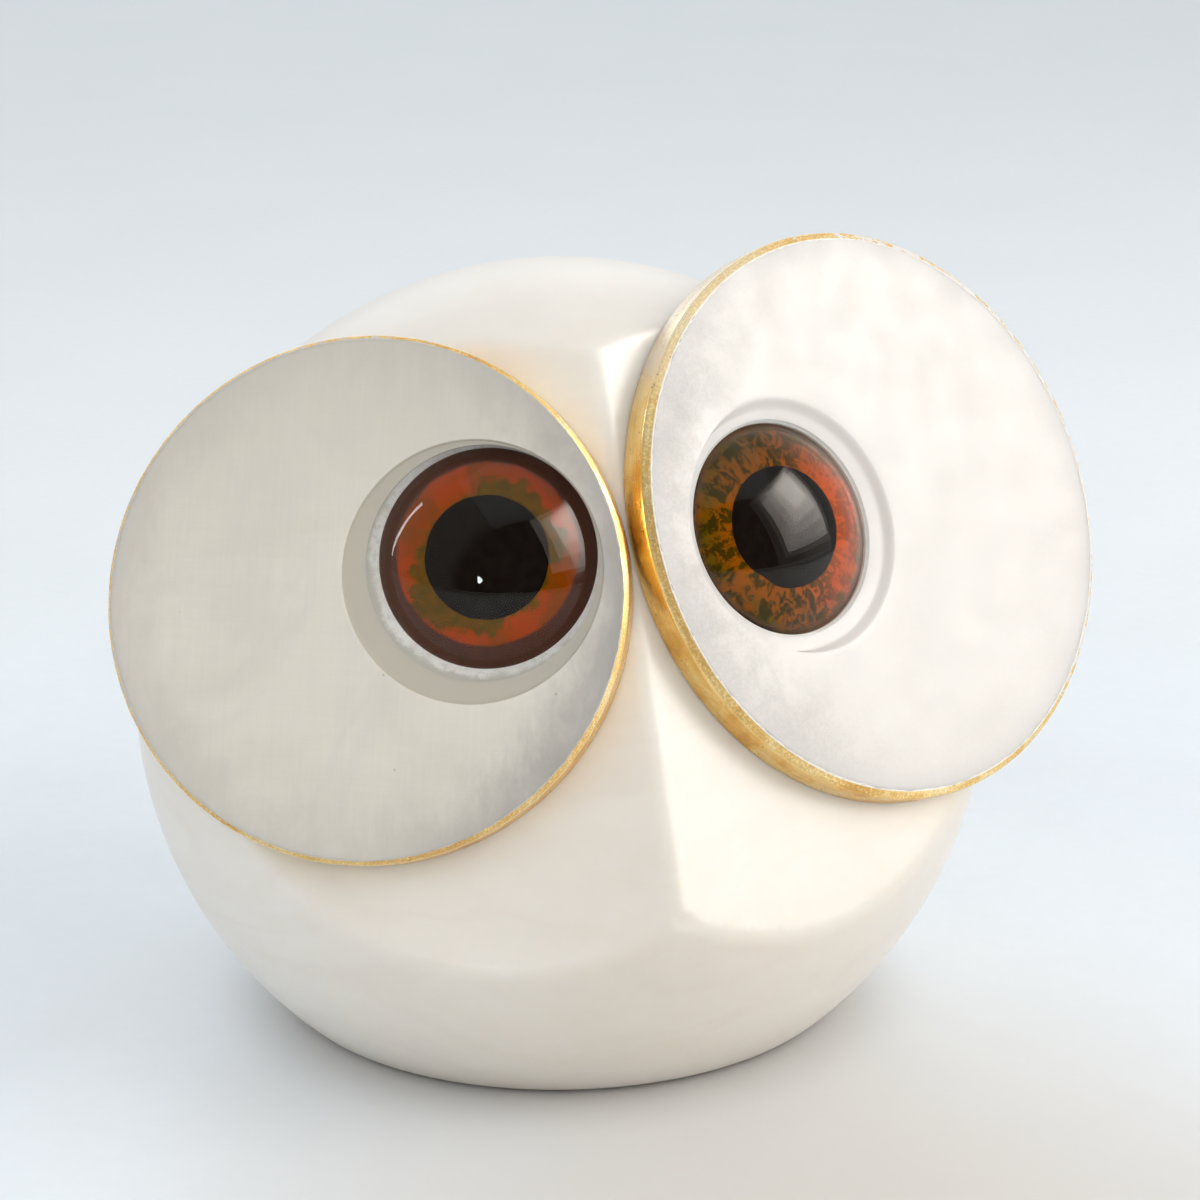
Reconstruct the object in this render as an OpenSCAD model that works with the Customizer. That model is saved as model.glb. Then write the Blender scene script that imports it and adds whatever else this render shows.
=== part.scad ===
// Owl figurine: an alabaster ball with two flat facets, and a thin stone disc with a glass eye on each.
// Units are millimetres. The origin is the centre of the base, +Z is up and the owl faces -Y.
// Left and right are the viewer's, looking along +Y at the owl's face.

/* [Ball] */
// Diameter of the ball
ball_d = 152; // [120:1:180]
// Height of the ball's centre above its sawn base
centre_h = 57; // [50:0.5:66]
// Distance from the ball's centre to each facet
facet_d = 55.6; // [54:0.1:58]
// How far each facet turns outwards from straight ahead, in degrees
facet_turn = 23.5; // [21:0.5:26]
// How far the left facet leans back, in degrees
left_lean = 22.2; // [20:0.1:25]
// How far the right facet leans back, in degrees
right_lean = 23.5; // [20:0.1:25]
// Width of the polished chamfer around the base
base_chamfer = 0.8; // [0.4:0.1:2]

/* [Left disc] */
// Diameter of the left disc over its gilding
left_disc_d = 86.4; // [82:0.2:88]
// Width of the left disc's bevel, across the face
left_bevel_w = 0.9; // [0.6:0.1:1.5]
// How far right of its facet's centre the left disc sits
left_disc_x = -22.6; // [-23:0.1:-22]
// How far up the facet the left disc sits
left_disc_y = 7.9; // [6:0.1:10]
// How far right of its disc's centre the left eye sits
left_eye_x = 19.5; // [19.3:0.05:19.6]
// How far above its disc's centre the left eye sits
left_eye_y = 7.4; // [7.3:0.05:7.5]

/* [Right disc] */
// Diameter of the right disc over its gilding
right_disc_d = 98.4; // [94:0.2:99]
// Width of the right disc's bevel, across the face
right_bevel_w = 1.5; // [1:0.1:2]
// How far right of its facet's centre the right disc sits
right_disc_x = 30.1; // [29.9:0.1:31]
// How far up the facet the right disc sits
right_disc_y = 13.2; // [11:0.1:15]
// How far right of its disc's centre the right eye sits
right_eye_x = -20.7; // [-21:0.1:-20.4]
// How far above its disc's centre the right eye sits
right_eye_y = 1.1; // [0.8:0.1:1.4]

/* [Both discs] */
// Thickness of each disc
disc_t = 6; // [5:0.1:7]
// Depth of the bevel around each face
bevel_h = 0.9; // [0.6:0.1:1.2]
// Thickness of the gilding and the bole under it
leaf_t = 0.2; // [0.1:0.05:0.4]
// Thickness of the adhesive film behind each disc
bond_t = 0.2; // [0.1:0.05:0.4]
// Diameter of the dish around each eye, at the face
dish_d = 43.2; // [43.2:0.1:44]
// Slope of the dish, in degrees
dish_slope = 25; // [18:1:30]
// Diameter of the pocket that holds each eye
pocket_d = 38.4; // [38.2:0.1:38.5]
// Depth of the pocket from the face
pocket_depth = 4.8; // [4.6:0.1:5]

/* [Eyes] */
// Diameter of each glass eye
eye_d = 36; // [34:0.5:36]
// Height of the eye's crown above its back
eye_h = 8.8; // [8:0.1:10]
// Height of the eye's straight edge
eye_edge_h = 1.2; // [1:0.1:2]
// Depth of the eye's flat back below the face
eye_back_depth = 3.9; // [3.6:0.1:4]
// Diameter of the painted pupil
pupil_d = 18.4; // [14:0.2:22]
// Thickness of each painted layer
paint_t = 0.15; // [0.1:0.05:0.2]
// Thickness of the varnish that seals the paint
seal_t = 0.2; // [0.1:0.05:0.3]

/* [Pins and pad] */
// Diameter of the pins that hold each disc
pin_d = 3; // [2:0.5:4]
// Length of each pin
pin_len = 16; // [12:1:24]
// Depth of each pin in its disc
pin_in_disc = 3.4; // [2:0.1:4]
// Diameter of the felt pad under the base
pad_d = 84; // [60:1:90]
// Thickness of the felt pad
pad_t = 1.4; // [1:0.1:2]
// How far the pad stands below the stone
pad_proud = 0.4; // [0.2:0.1:0.8]

/* [Hidden] */
$fn = 128;

ball_r = ball_d / 2;
ball_z = centre_h + pad_proud;
base_r = sqrt(ball_r * ball_r - centre_h * centre_h);
facet_r = sqrt(ball_r * ball_r - facet_d * facet_d);
cut_size = 2 * ball_d;

// Radius and height of the spherical crown that rises from the eye's straight edge.
eye_r = eye_d / 2;
crown_h = eye_h - eye_edge_h;
crown_r = (eye_r * eye_r + crown_h * crown_h) / (2 * crown_h);

dish_r = dish_d / 2;
pocket_r = pocket_d / 2;
pocket_floor = disc_t - pocket_depth;
eye_back_z = disc_t - eye_back_depth;
bond_inset = 1.5;
pin_hole_gap = 0.05;
pin_end_gap = 0.2;
pin_hole_d = pin_d + 2 * pin_hole_gap;

// Places in each disc's own frame: to the right, then up.
left_disc_at = [left_disc_x, left_disc_y];
left_eye_at = [left_eye_x, left_eye_y];
left_pins_at = [[-14, -14], [-12, 18]];
right_disc_at = [right_disc_x, right_disc_y];
right_eye_at = [right_eye_x, right_eye_y];
right_pins_at = [[6, -22], [4, 16]];

// How far each pocket and dish lie from their eye, because each was cut by hand.
left_pocket_shift = [-0.65, -0.75];
left_dish_shift = [-2, -2.55];
right_pocket_shift = [0.2, -0.1];
right_dish_shift = [0.6, -0.3];

// Moves its children from a facet's own frame to the figurine: x to the right, y up the facet, z outwards.
module on_facet(turn, lean) {
    translate([0, 0, ball_z])
        rotate([90 - lean, 0, turn])
            translate([0, 0, facet_d])
                children();
}

// Moves its children from the disc's own frame, whose z = 0 is the disc's back, to the figurine.
module on_left_disc() {
    on_facet(-facet_turn, left_lean)
        translate([left_disc_at[0], left_disc_at[1], bond_t])
            children();
}

module on_right_disc() {
    on_facet(facet_turn, right_lean)
        translate([right_disc_at[0], right_disc_at[1], bond_t])
            children();
}

module at(point, z = 0) {
    translate([point[0], point[1], z])
        children();
}

// A disc of stone inside its gilding, with the dish, the eye's pocket and two blind pin holes.
module disc_stone(r, bevel_w, pocket_at, dish_at, pins_at) {
    dish_deep = pocket_depth / 2;
    difference() {
        rotate_extrude()
            polygon([
                [0, 0],
                [r - leaf_t, 0],
                [r - leaf_t, disc_t - bevel_h - leaf_t / 2],
                [r - bevel_w, disc_t],
                [0, disc_t]
            ]);
        at(dish_at, disc_t - dish_deep)
            cylinder(h = dish_deep, r1 = dish_r - dish_deep / tan(dish_slope), r2 = dish_r);
        at(pocket_at, pocket_floor)
            cylinder(h = disc_t, r = pocket_r);
        for (p = pins_at)
            at(p, -1)
                cylinder(h = pin_in_disc + pin_end_gap + 1, d = pin_hole_d, $fn = 32);
    }
}

// Gold leaf on its bole: it wraps the disc's side and feathers out at the top of the bevel.
module gold_band(r, bevel_w) {
    rotate_extrude()
        polygon([
            [r - leaf_t, 0],
            [r, 0],
            [r, disc_t - bevel_h],
            [r - bevel_w, disc_t],
            [r - leaf_t, disc_t - bevel_h - leaf_t / 2]
        ]);
}

// Adhesive between a disc and its facet: it stops short of both edges and leaves the pins free.
module bond_film(r, disc_at, pins_at) {
    difference() {
        intersection() {
            translate([0, 0, -bond_t])
                cylinder(h = bond_t, r = r - bond_inset);
            translate([-disc_at[0], -disc_at[1], -bond_t])
                cylinder(h = bond_t, r = facet_r - bond_inset);
        }
        for (p = pins_at)
            at(p, -1)
                cylinder(h = 2, d = pin_hole_d, $fn = 32);
    }
}

module pins(pins_at) {
    for (p = pins_at)
        at(p, pin_in_disc - pin_len)
            cylinder(h = pin_len, d = pin_d, $fn = 32);
}

// Blind holes in the ball for a disc's pins.
module pin_holes(pins_at) {
    for (p = pins_at)
        at(p, pin_in_disc - pin_len - pin_end_gap)
            cylinder(h = pin_len, d = pin_hole_d, $fn = 32);
}

// Ring that bevels the base's edge: its slope runs through the base plane and the ball's surface.
module base_chamfer_cut() {
    top_r = sqrt(ball_r * ball_r - pow(centre_h - base_chamfer, 2));
    run = top_r - base_r + base_chamfer;
    rotate_extrude()
        polygon([
            [base_r - base_chamfer - run, -base_chamfer],
            [top_r + run, 2 * base_chamfer],
            [top_r + run, -base_chamfer]
        ]);
}

// Solid glass cabochon: a flat back, a short straight edge and a spherical crown.
module eye_glass() {
    translate([0, 0, eye_back_z])
        intersection() {
            cylinder(h = eye_h, r = eye_r);
            translate([0, 0, eye_h - crown_r])
                sphere(r = crown_r);
        }
}

module pupil_paint() {
    translate([0, 0, eye_back_z - paint_t])
        cylinder(h = paint_t, d = pupil_d);
}

module iris_paint() {
    translate([0, 0, eye_back_z - paint_t])
        difference() {
            cylinder(h = paint_t, r = eye_r);
            translate([0, 0, -1])
                cylinder(h = paint_t + 2, d = pupil_d);
        }
}

module eye_seal() {
    translate([0, 0, eye_back_z - paint_t - seal_t])
        cylinder(h = seal_t, r = eye_r);
}

// White putty that fills the pocket under and around the eye, with a dished top edge.
module bedding(pocket_shift) {
    low_z = eye_back_z + eye_edge_h;
    high_z = low_z + (pocket_r - eye_r) * tan(dish_slope);
    difference() {
        at(pocket_shift)
            rotate_extrude()
                polygon([
                    [0, pocket_floor],
                    [pocket_r, pocket_floor],
                    [pocket_r, high_z],
                    [eye_r, low_z],
                    [0, low_z]
                ]);
        translate([0, 0, eye_back_z - paint_t - seal_t])
            cylinder(h = disc_t, r = eye_r);
    }
}

module body() {
    color([0.93, 0.90, 0.85])
        difference() {
            translate([0, 0, ball_z])
                sphere(r = ball_r);
            translate([-cut_size / 2, -cut_size / 2, pad_proud - cut_size])
                cube(cut_size);
            translate([0, 0, pad_proud])
                base_chamfer_cut();
            translate([0, 0, pad_proud - 1])
                cylinder(h = pad_t - pad_proud + 1, d = pad_d + 0.4);
            on_facet(-facet_turn, left_lean)
                translate([-cut_size / 2, -cut_size / 2, 0])
                    cube(cut_size);
            on_facet(facet_turn, right_lean)
                translate([-cut_size / 2, -cut_size / 2, 0])
                    cube(cut_size);
            on_left_disc()
                pin_holes(left_pins_at);
            on_right_disc()
                pin_holes(right_pins_at);
        }
}

module base_pad() {
    color([0.45, 0.42, 0.38])
        cylinder(h = pad_t, d = pad_d);
}

module left_disc() {
    color([0.87, 0.85, 0.81])
        on_left_disc()
            disc_stone(left_disc_d / 2, left_bevel_w, left_eye_at + left_pocket_shift,
                left_eye_at + left_dish_shift, left_pins_at);
}

module left_gold_leaf() {
    color([0.83, 0.62, 0.22])
        on_left_disc()
            gold_band(left_disc_d / 2, left_bevel_w);
}

module left_disc_bond() {
    color([0.85, 0.80, 0.62])
        on_left_disc()
            bond_film(left_disc_d / 2, left_disc_at, left_pins_at);
}

module left_disc_pins() {
    color([0.70, 0.70, 0.72])
        on_left_disc()
            pins(left_pins_at);
}

module left_eye_glass() {
    color([0.55, 0.30, 0.15, 0.35])
        on_left_disc()
            at(left_eye_at)
                eye_glass();
}

module left_pupil() {
    color([0.03, 0.03, 0.03])
        on_left_disc()
            at(left_eye_at)
                pupil_paint();
}

module left_iris() {
    color([0.58, 0.22, 0.07])
        on_left_disc()
            at(left_eye_at)
                iris_paint();
}

module left_eye_seal() {
    color([0.20, 0.12, 0.08])
        on_left_disc()
            at(left_eye_at)
                eye_seal();
}

module left_eye_bedding() {
    color([0.95, 0.95, 0.93])
        on_left_disc()
            at(left_eye_at)
                bedding(left_pocket_shift);
}

module right_disc() {
    color([0.96, 0.94, 0.91])
        on_right_disc()
            disc_stone(right_disc_d / 2, right_bevel_w, right_eye_at + right_pocket_shift,
                right_eye_at + right_dish_shift, right_pins_at);
}

module right_gold_leaf() {
    color([0.83, 0.62, 0.22])
        on_right_disc()
            gold_band(right_disc_d / 2, right_bevel_w);
}

module right_disc_bond() {
    color([0.85, 0.80, 0.62])
        on_right_disc()
            bond_film(right_disc_d / 2, right_disc_at, right_pins_at);
}

module right_disc_pins() {
    color([0.70, 0.70, 0.72])
        on_right_disc()
            pins(right_pins_at);
}

module right_eye_glass() {
    color([0.60, 0.38, 0.15, 0.35])
        on_right_disc()
            at(right_eye_at)
                eye_glass();
}

module right_pupil() {
    color([0.03, 0.03, 0.03])
        on_right_disc()
            at(right_eye_at)
                pupil_paint();
}

module right_iris() {
    color([0.62, 0.32, 0.06])
        on_right_disc()
            at(right_eye_at)
                iris_paint();
}

module right_eye_seal() {
    color([0.20, 0.12, 0.08])
        on_right_disc()
            at(right_eye_at)
                eye_seal();
}

module right_eye_bedding() {
    color([0.95, 0.95, 0.93])
        on_right_disc()
            at(right_eye_at)
                bedding(right_pocket_shift);
}

body();
base_pad();
left_disc();
left_gold_leaf();
left_disc_bond();
left_disc_pins();
left_eye_glass();
left_pupil();
left_iris();
left_eye_seal();
left_eye_bedding();
right_disc();
right_gold_leaf();
right_disc_bond();
right_disc_pins();
right_eye_glass();
right_pupil();
right_iris();
right_eye_seal();
right_eye_bedding();
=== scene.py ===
"""Owl figurine: an alabaster ball with two flat facets, and a gilded stone disc with a glass eye on each.

Everything is in metres. The owl faces -Y and stands on z = 0, and left and right are the viewer's.
"""
import math

import bmesh
import bpy
import numpy as np
from mathutils import Matrix, Vector


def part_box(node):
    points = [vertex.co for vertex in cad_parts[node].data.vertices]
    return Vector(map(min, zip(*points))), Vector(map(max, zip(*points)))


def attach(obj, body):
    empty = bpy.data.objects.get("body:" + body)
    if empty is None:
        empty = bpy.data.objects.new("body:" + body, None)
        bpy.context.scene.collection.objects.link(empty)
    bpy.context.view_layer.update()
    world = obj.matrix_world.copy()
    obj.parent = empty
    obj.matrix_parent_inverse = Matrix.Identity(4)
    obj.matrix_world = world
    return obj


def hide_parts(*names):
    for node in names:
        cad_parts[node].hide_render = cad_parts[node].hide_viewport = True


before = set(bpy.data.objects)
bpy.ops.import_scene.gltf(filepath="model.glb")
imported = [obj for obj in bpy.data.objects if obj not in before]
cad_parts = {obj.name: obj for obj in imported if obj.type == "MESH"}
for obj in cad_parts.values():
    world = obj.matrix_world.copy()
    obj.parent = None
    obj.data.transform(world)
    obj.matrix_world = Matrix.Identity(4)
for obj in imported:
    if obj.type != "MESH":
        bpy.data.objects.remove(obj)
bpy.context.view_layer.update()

MM = 0.001
TOUCHING = 0.01 * MM
scene = bpy.context.scene


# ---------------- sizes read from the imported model

def node_points(node, matrix=None):
    """A CAD node's vertices as an array, moved by a matrix if one is given."""
    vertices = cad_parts[node].data.vertices
    if matrix is None:
        return np.array([v.co for v in vertices])
    return np.array([matrix @ v.co for v in vertices])


def circle_of(points):
    """Centre (x, y) and radius of the circle that bounds a round part's points."""
    low, high = points[:, :2].min(0), points[:, :2].max(0)
    return (low + high) / 2, (high - low).max() / 2


class Ball:
    """The ball's centre, radius and base height, and the diameter of the pad under it."""

    def __init__(self):
        low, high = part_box("body")
        self.r = (high.x - low.x) / 2
        self.centre = np.array([(low.x + high.x) / 2, high.y - self.r, high.z - self.r])
        self.base_z = low.z
        pad_low, pad_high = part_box("base_pad")
        self.pad_r = (pad_high.x - pad_low.x) / 2
        self.pad_t = pad_high.z - pad_low.z


class Disc:
    """One disc's sizes and places, with the eye's in it.

    Its frame has x to the right, y up the facet and z outwards, and its back is at z = 0. facet_d is the
    distance of the disc's facet from the ball's centre.
    """

    def __init__(self, side, ball_centre):
        self.side = side
        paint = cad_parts[side + "_pupil"].data
        normal = max(paint.polygons, key=lambda face: face.area).normal.copy()
        if normal.y > 0:
            normal.negate()
        right = Vector((0, 0, 1)).cross(normal).normalized()
        axes = Matrix((right, normal.cross(right), normal)).transposed()
        turn = axes.to_4x4()
        leaf_at, self.r = circle_of(node_points(side + "_gold_leaf", turn.inverted()))
        stone = node_points(side + "_disc", turn.inverted())
        self.matrix = turn @ Matrix.Translation((leaf_at[0], leaf_at[1], stone[:, 2].min()))
        self.normal = np.array(normal)

        here = self.matrix.inverted()
        stone = node_points(side + "_disc", here)
        reach = np.hypot(stone[:, 0], stone[:, 1])
        self.thick = stone[:, 2].max()
        self.stone_r = reach.max()
        on_face = stone[:, 2] > self.thick - TOUCHING
        self.face_r = reach[on_face].max()
        self.shoulder_z = stone[reach > self.stone_r - TOUCHING][:, 2].max()
        dish = stone[on_face & (reach < self.face_r - 1 * MM)]
        self.dish_at, self.dish_r = circle_of(dish)
        self.pocket_z = node_points(side + "_eye_bedding", here)[:, 2].min()
        glass = node_points(side + "_eye_glass", here)
        self.eye_at, self.eye_r = circle_of(glass)
        self.eye_z, self.eye_top = glass[:, 2].min(), glass[:, 2].max()
        rim = np.hypot(*(glass[:, :2] - self.eye_at).T) > self.eye_r - 0.05 * MM
        self.eye_edge_z = glass[rim][:, 2].max()
        self.seal_z = node_points(side + "_eye_seal", here)[:, 2].min()
        self.pupil_r = circle_of(node_points(side + "_pupil", here))[1]
        bond_heights = node_points(side + "_disc_bond") @ self.normal
        self.facet_d = bond_heights.min() - float(np.dot(self.normal, ball_centre))

    def eye_matrix(self):
        """The eye's own frame: its axis is z and its flat back is at z = 0."""
        return self.matrix @ Matrix.Translation((self.eye_at[0], self.eye_at[1], self.eye_z))


ball = Ball()
left = Disc("left", ball.centre)
right = Disc("right", ball.centre)


# ---------------- camera

def direction(azimuth, elevation):
    """Unit vector from the ball. Azimuth 0 is in front, and positive is to the right."""
    return Vector((
        math.sin(azimuth) * math.cos(elevation),
        -math.cos(azimuth) * math.cos(elevation),
        math.sin(elevation),
    ))


CAMERA_AWAY = 0.54144
CAMERA_AZIMUTH = math.radians(-13.47)
CAMERA_ELEVATION = math.radians(18.0)
CAMERA_YAW = math.radians(-0.793)
CAMERA_PITCH = math.radians(1.522)
CAMERA_ROLL = math.radians(0.69)
CAMERA_NEAREST = 0.01
# The focal length and the sensor's width, which Blender takes in millimetres.
CAMERA_LENS = 90
CAMERA_SENSOR = 36


def make_camera():
    """A long lens that looks a little above and beside the ball's centre."""
    away = direction(CAMERA_AZIMUTH, CAMERA_ELEVATION)
    ahead = -away
    side = ahead.cross(Vector((0, 0, 1))).normalized()
    yaw = Matrix.Rotation(CAMERA_YAW, 3, "Z")
    ahead, side = yaw @ ahead, yaw @ side
    ahead = Matrix.Rotation(CAMERA_PITCH, 3, side) @ ahead
    side = Matrix.Rotation(CAMERA_ROLL, 3, ahead) @ side
    up = side.cross(ahead)
    camera = bpy.data.objects.new("camera", bpy.data.cameras.new("camera"))
    camera.data.lens = CAMERA_LENS
    camera.data.sensor_width = CAMERA_SENSOR
    camera.data.clip_start = CAMERA_NEAREST
    turn = Matrix((side, up, -ahead)).transposed().to_4x4()
    camera.matrix_world = Matrix.Translation(Vector(ball.centre) + away * CAMERA_AWAY) @ turn
    scene.collection.objects.link(camera)
    scene.camera = camera


make_camera()


# ---------------- node helpers

def set_stops(ramp, stops):
    """Gives a colour ramp its (spot, colour) stops."""
    elements = ramp.color_ramp.elements
    while len(elements) < len(stops):
        elements.new(0.5)
    for element, (spot, colour) in zip(elements, stops):
        element.position = spot
        element.color = (*colour, 1)


class Tree:
    """A material with one Principled shader, and short calls for the nodes that feed it."""

    def __init__(self, name, **constants):
        self.material = bpy.data.materials.new(name)
        self.material.use_nodes = True
        self.tree = self.material.node_tree
        self.shader = self.tree.nodes["Principled BSDF"]
        for key, value in constants.items():
            self.set(key.replace("_", " "), value)

    def set(self, name, value):
        """Feeds one of the shader's own sockets."""
        self.feed(self.shader.inputs[name], value)

    def feed(self, socket, value):
        """Links a node's output to a socket, or sets the socket to a number or colour."""
        if isinstance(value, bpy.types.NodeSocket):
            self.tree.links.new(value, socket)
        elif socket.type == "RGBA" and len(value) == 3:
            socket.default_value = (*value, 1)
        else:
            socket.default_value = value

    def node(self, kind, *values, **settings):
        """A new node with its settings, and its first sockets fed in order."""
        made = self.tree.nodes.new("ShaderNode" + kind)
        for key, value in settings.items():
            setattr(made, key, value)
        for socket, value in zip(made.inputs, values):
            if value is not None:
                self.feed(socket, value)
        return made

    def named(self, kind, **values):
        """A new node with some of its sockets fed by name."""
        made = self.node(kind)
        for key, value in values.items():
            self.feed(made.inputs[key.replace("_", " ")], value)
        return made

    def coords(self):
        """The surface's own coordinates, which place() stores on a piece's mesh."""
        return self.node("Attribute", attribute_name="own_place").outputs["Vector"]

    def object_coords(self):
        """The object's coordinates, for the CAD nodes and the floor."""
        return self.node("TexCoord").outputs["Object"]

    def math(self, operation, *values):
        return self.node("Math", *values, operation=operation).outputs[0]

    def plus(self, first, second):
        return self.math("ADD", first, second)

    def minus(self, first, second):
        return self.math("SUBTRACT", first, second)

    def times(self, first, second):
        return self.math("MULTIPLY", first, second)

    def apart(self, first, second):
        """The distance between two values."""
        return self.math("ABSOLUTE", self.minus(first, second))

    def vector(self, operation, *values):
        """A vector sum or product, or a length, distance or dot product as a number."""
        made = self.node("VectorMath", *values, operation=operation)
        return made.outputs["Value" if operation in ("LENGTH", "DISTANCE", "DOT_PRODUCT") else "Vector"]

    def noise(self, point, scale, detail=2.0, roughness=0.5, distortion=0.0):
        """Smooth noise between about 0.2 and 0.8."""
        made = self.named("TexNoise", Vector=point, Scale=scale, Detail=detail, Roughness=roughness,
                          Distortion=distortion)
        return made.outputs["Fac"]

    def grain(self, point, scale, turn, *settings):
        """Noise with its own scale along each axis, turned by an angle about each axis."""
        made = self.named("Mapping", Vector=point, Scale=scale, Rotation=turn)
        return self.noise(made.outputs[0], 1.0, *settings)

    def cells(self, point, scale):
        """Distance to the nearest of many scattered points."""
        return self.named("TexVoronoi", Vector=point, Scale=scale).outputs["Distance"]

    def fade(self, value, start, end, low=0.0, high=1.0):
        """A smooth step from low to high as value goes from start to end."""
        made = self.named("MapRange", Value=value, From_Min=start, From_Max=end, To_Min=low, To_Max=high)
        made.interpolation_type = "SMOOTHSTEP"
        return made.outputs[0]

    def mix(self, factor, first, second):
        """A blend of two colours."""
        made = self.node("Mix", data_type="RGBA")
        self.feed(made.inputs[0], factor)
        self.feed(made.inputs[6], first)
        self.feed(made.inputs[7], second)
        return made.outputs[2]

    def ramp(self, value, *stops):
        """A colour ramp through (spot, colour) stops."""
        made = self.node("ValToRGB", value)
        set_stops(made, stops)
        return made.outputs[0]

    def bump(self, height, distance, strength=1.0):
        """Adds relief of a height in metres to the shader's normal."""
        made = self.named("Bump", Strength=strength, Distance=distance, Height=height)
        under = self.shader.inputs["Normal"].links
        if under:
            self.feed(made.inputs["Normal"], under[0].from_socket)
        self.set("Normal", made.outputs[0])

    def along(self, point, axis):
        """A point's X, Y or Z."""
        return self.node("SeparateXYZ", point).outputs[axis]

    def flat(self, point):
        """A point dropped to z = 0."""
        return self.vector("MULTIPLY", point, (1, 1, 0))

    def reach(self, point):
        """A point's distance from the z axis."""
        return self.vector("LENGTH", self.flat(point))

    def angle(self, point):
        """A point's angle round the z axis, from the x axis."""
        return self.math("ARCTAN2", self.along(point, "Y"), self.along(point, "X"))

    def towards(self, point, degrees):
        """1 where a point lies in one direction from the z axis, 0 beside it and -1 opposite."""
        return self.math("COSINE", self.minus(self.angle(point), math.radians(degrees)))


# ---------------- materials

def alabaster_ball():
    """Creamy polished alabaster with cloudy bands and faint veins."""
    m = Tree("ball_alabaster", Subsurface_Weight=0.35, Subsurface_Scale=0.006,
             Subsurface_Radius=(1.0, 0.8, 0.6), IOR=1.52)
    p = m.coords()
    cloud = m.grain(p, (14, 14, 34), (0.5, 0.35, 0), 4, 0.55, 0.8)
    wisp = m.grain(p, (16, 12, 46), (0.3, 0.5, 0.2), 3, 0.5, 0.8)
    vein = m.apart(wisp, 0.5)
    grain = m.noise(p, 260, 2, 0.5)
    colour = m.mix(m.fade(cloud, 0.3, 0.75), (0.885, 0.84, 0.775), (0.845, 0.79, 0.715))
    colour = m.mix(m.fade(vein, 0.0, 0.07, 0.18, 0.0), colour, (0.78, 0.71, 0.62))
    colour = m.mix(m.fade(grain, 0.3, 0.7, 0.0, 0.10), colour, (0.93, 0.90, 0.85))
    m.set("Base Color", colour)
    rub = m.noise(p, 60, 4, 0.6)
    m.set("Roughness", m.fade(rub, 0.3, 0.7, 0.29, 0.37))
    m.bump(m.noise(p, 40, 2, 0.4), 0.04 * MM, 0.5)
    return m.material


def alabaster_left():
    """Honed greyish-cream alabaster: crossed sanding lines, a grey clouded side and a few dark specks."""
    m = Tree("left_disc_alabaster", Subsurface_Weight=0.25, Subsurface_Scale=0.004,
             Subsurface_Radius=(1.0, 0.85, 0.7), IOR=1.5)
    p = m.coords()
    cloud = m.grain(p, (26, 34, 30), (0, 0, 0.4), 5, 0.6, 1.2)
    colour = m.mix(m.fade(cloud, 0.3, 0.75), (0.80, 0.755, 0.665), (0.735, 0.69, 0.60))
    marbling = m.grain(p, (160, 80, 160), (0, 0, -0.3), 7, 0.68, 0.3)
    ragged = m.plus(m.reach(p), m.fade(marbling, 0.2, 0.8, -3 * MM, 4 * MM))
    rightness = m.fade(m.along(p, "X"), 2 * MM, 34 * MM, 0.35, 1.0)
    grey = m.times(m.fade(ragged, 31 * MM, 44 * MM), rightness)
    colour = m.mix(grey, colour, (0.44, 0.41, 0.38))
    colour = m.mix(m.fade(m.along(p, "Y"), 6 * MM, 36 * MM, 0.0, 0.45), colour, (0.62, 0.58, 0.50))
    wisp = m.grain(p, (30, 14, 30), (0, 0, 0.9), 4, 0.55, 0.9)
    vein = m.apart(wisp, 0.52)
    colour = m.mix(m.fade(vein, 0.0, 0.05, 0.16, 0.0), colour, (0.62, 0.61, 0.58))
    specks = m.cells(p, 210)
    keep = m.noise(p, 90, 1, 0.5)
    speck = m.times(m.fade(specks, 0.03, 0.07, 1.0, 0.0), m.fade(keep, 0.58, 0.66))
    colour = m.mix(m.times(speck, 0.5), colour, (0.22, 0.20, 0.18))
    # Painted shade: the dish is coloured a darker greenish grey for the shade in it.
    below_face = m.minus(left.thick, m.along(p, "Z"))
    dish_shade = m.fade(below_face, 0.08 * MM, 0.35 * MM, 0.0, 0.8)
    colour = m.mix(dish_shade, colour, (0.475, 0.44, 0.355))
    m.set("Roughness", m.fade(m.noise(p, 120, 3, 0.6), 0.3, 0.7, 0.42, 0.58))
    lines = m.grain(p, (2200, 60, 400), (0, 0, 0.06), 2, 0.6)
    cross_lines = m.grain(p, (60, 1900, 400), (0, 0, 0.03), 2, 0.6)
    weave = m.plus(m.fade(lines, 0.35, 0.65, 0.0, 0.05), m.fade(cross_lines, 0.35, 0.65, 0.0, 0.035))
    m.set("Base Color", m.mix(weave, colour, (0.52, 0.49, 0.43)))
    m.bump(lines, 0.008 * MM, 0.5)
    m.bump(m.noise(p, 300, 2, 0.6), 0.02 * MM, 0.4)
    return m.material


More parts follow.
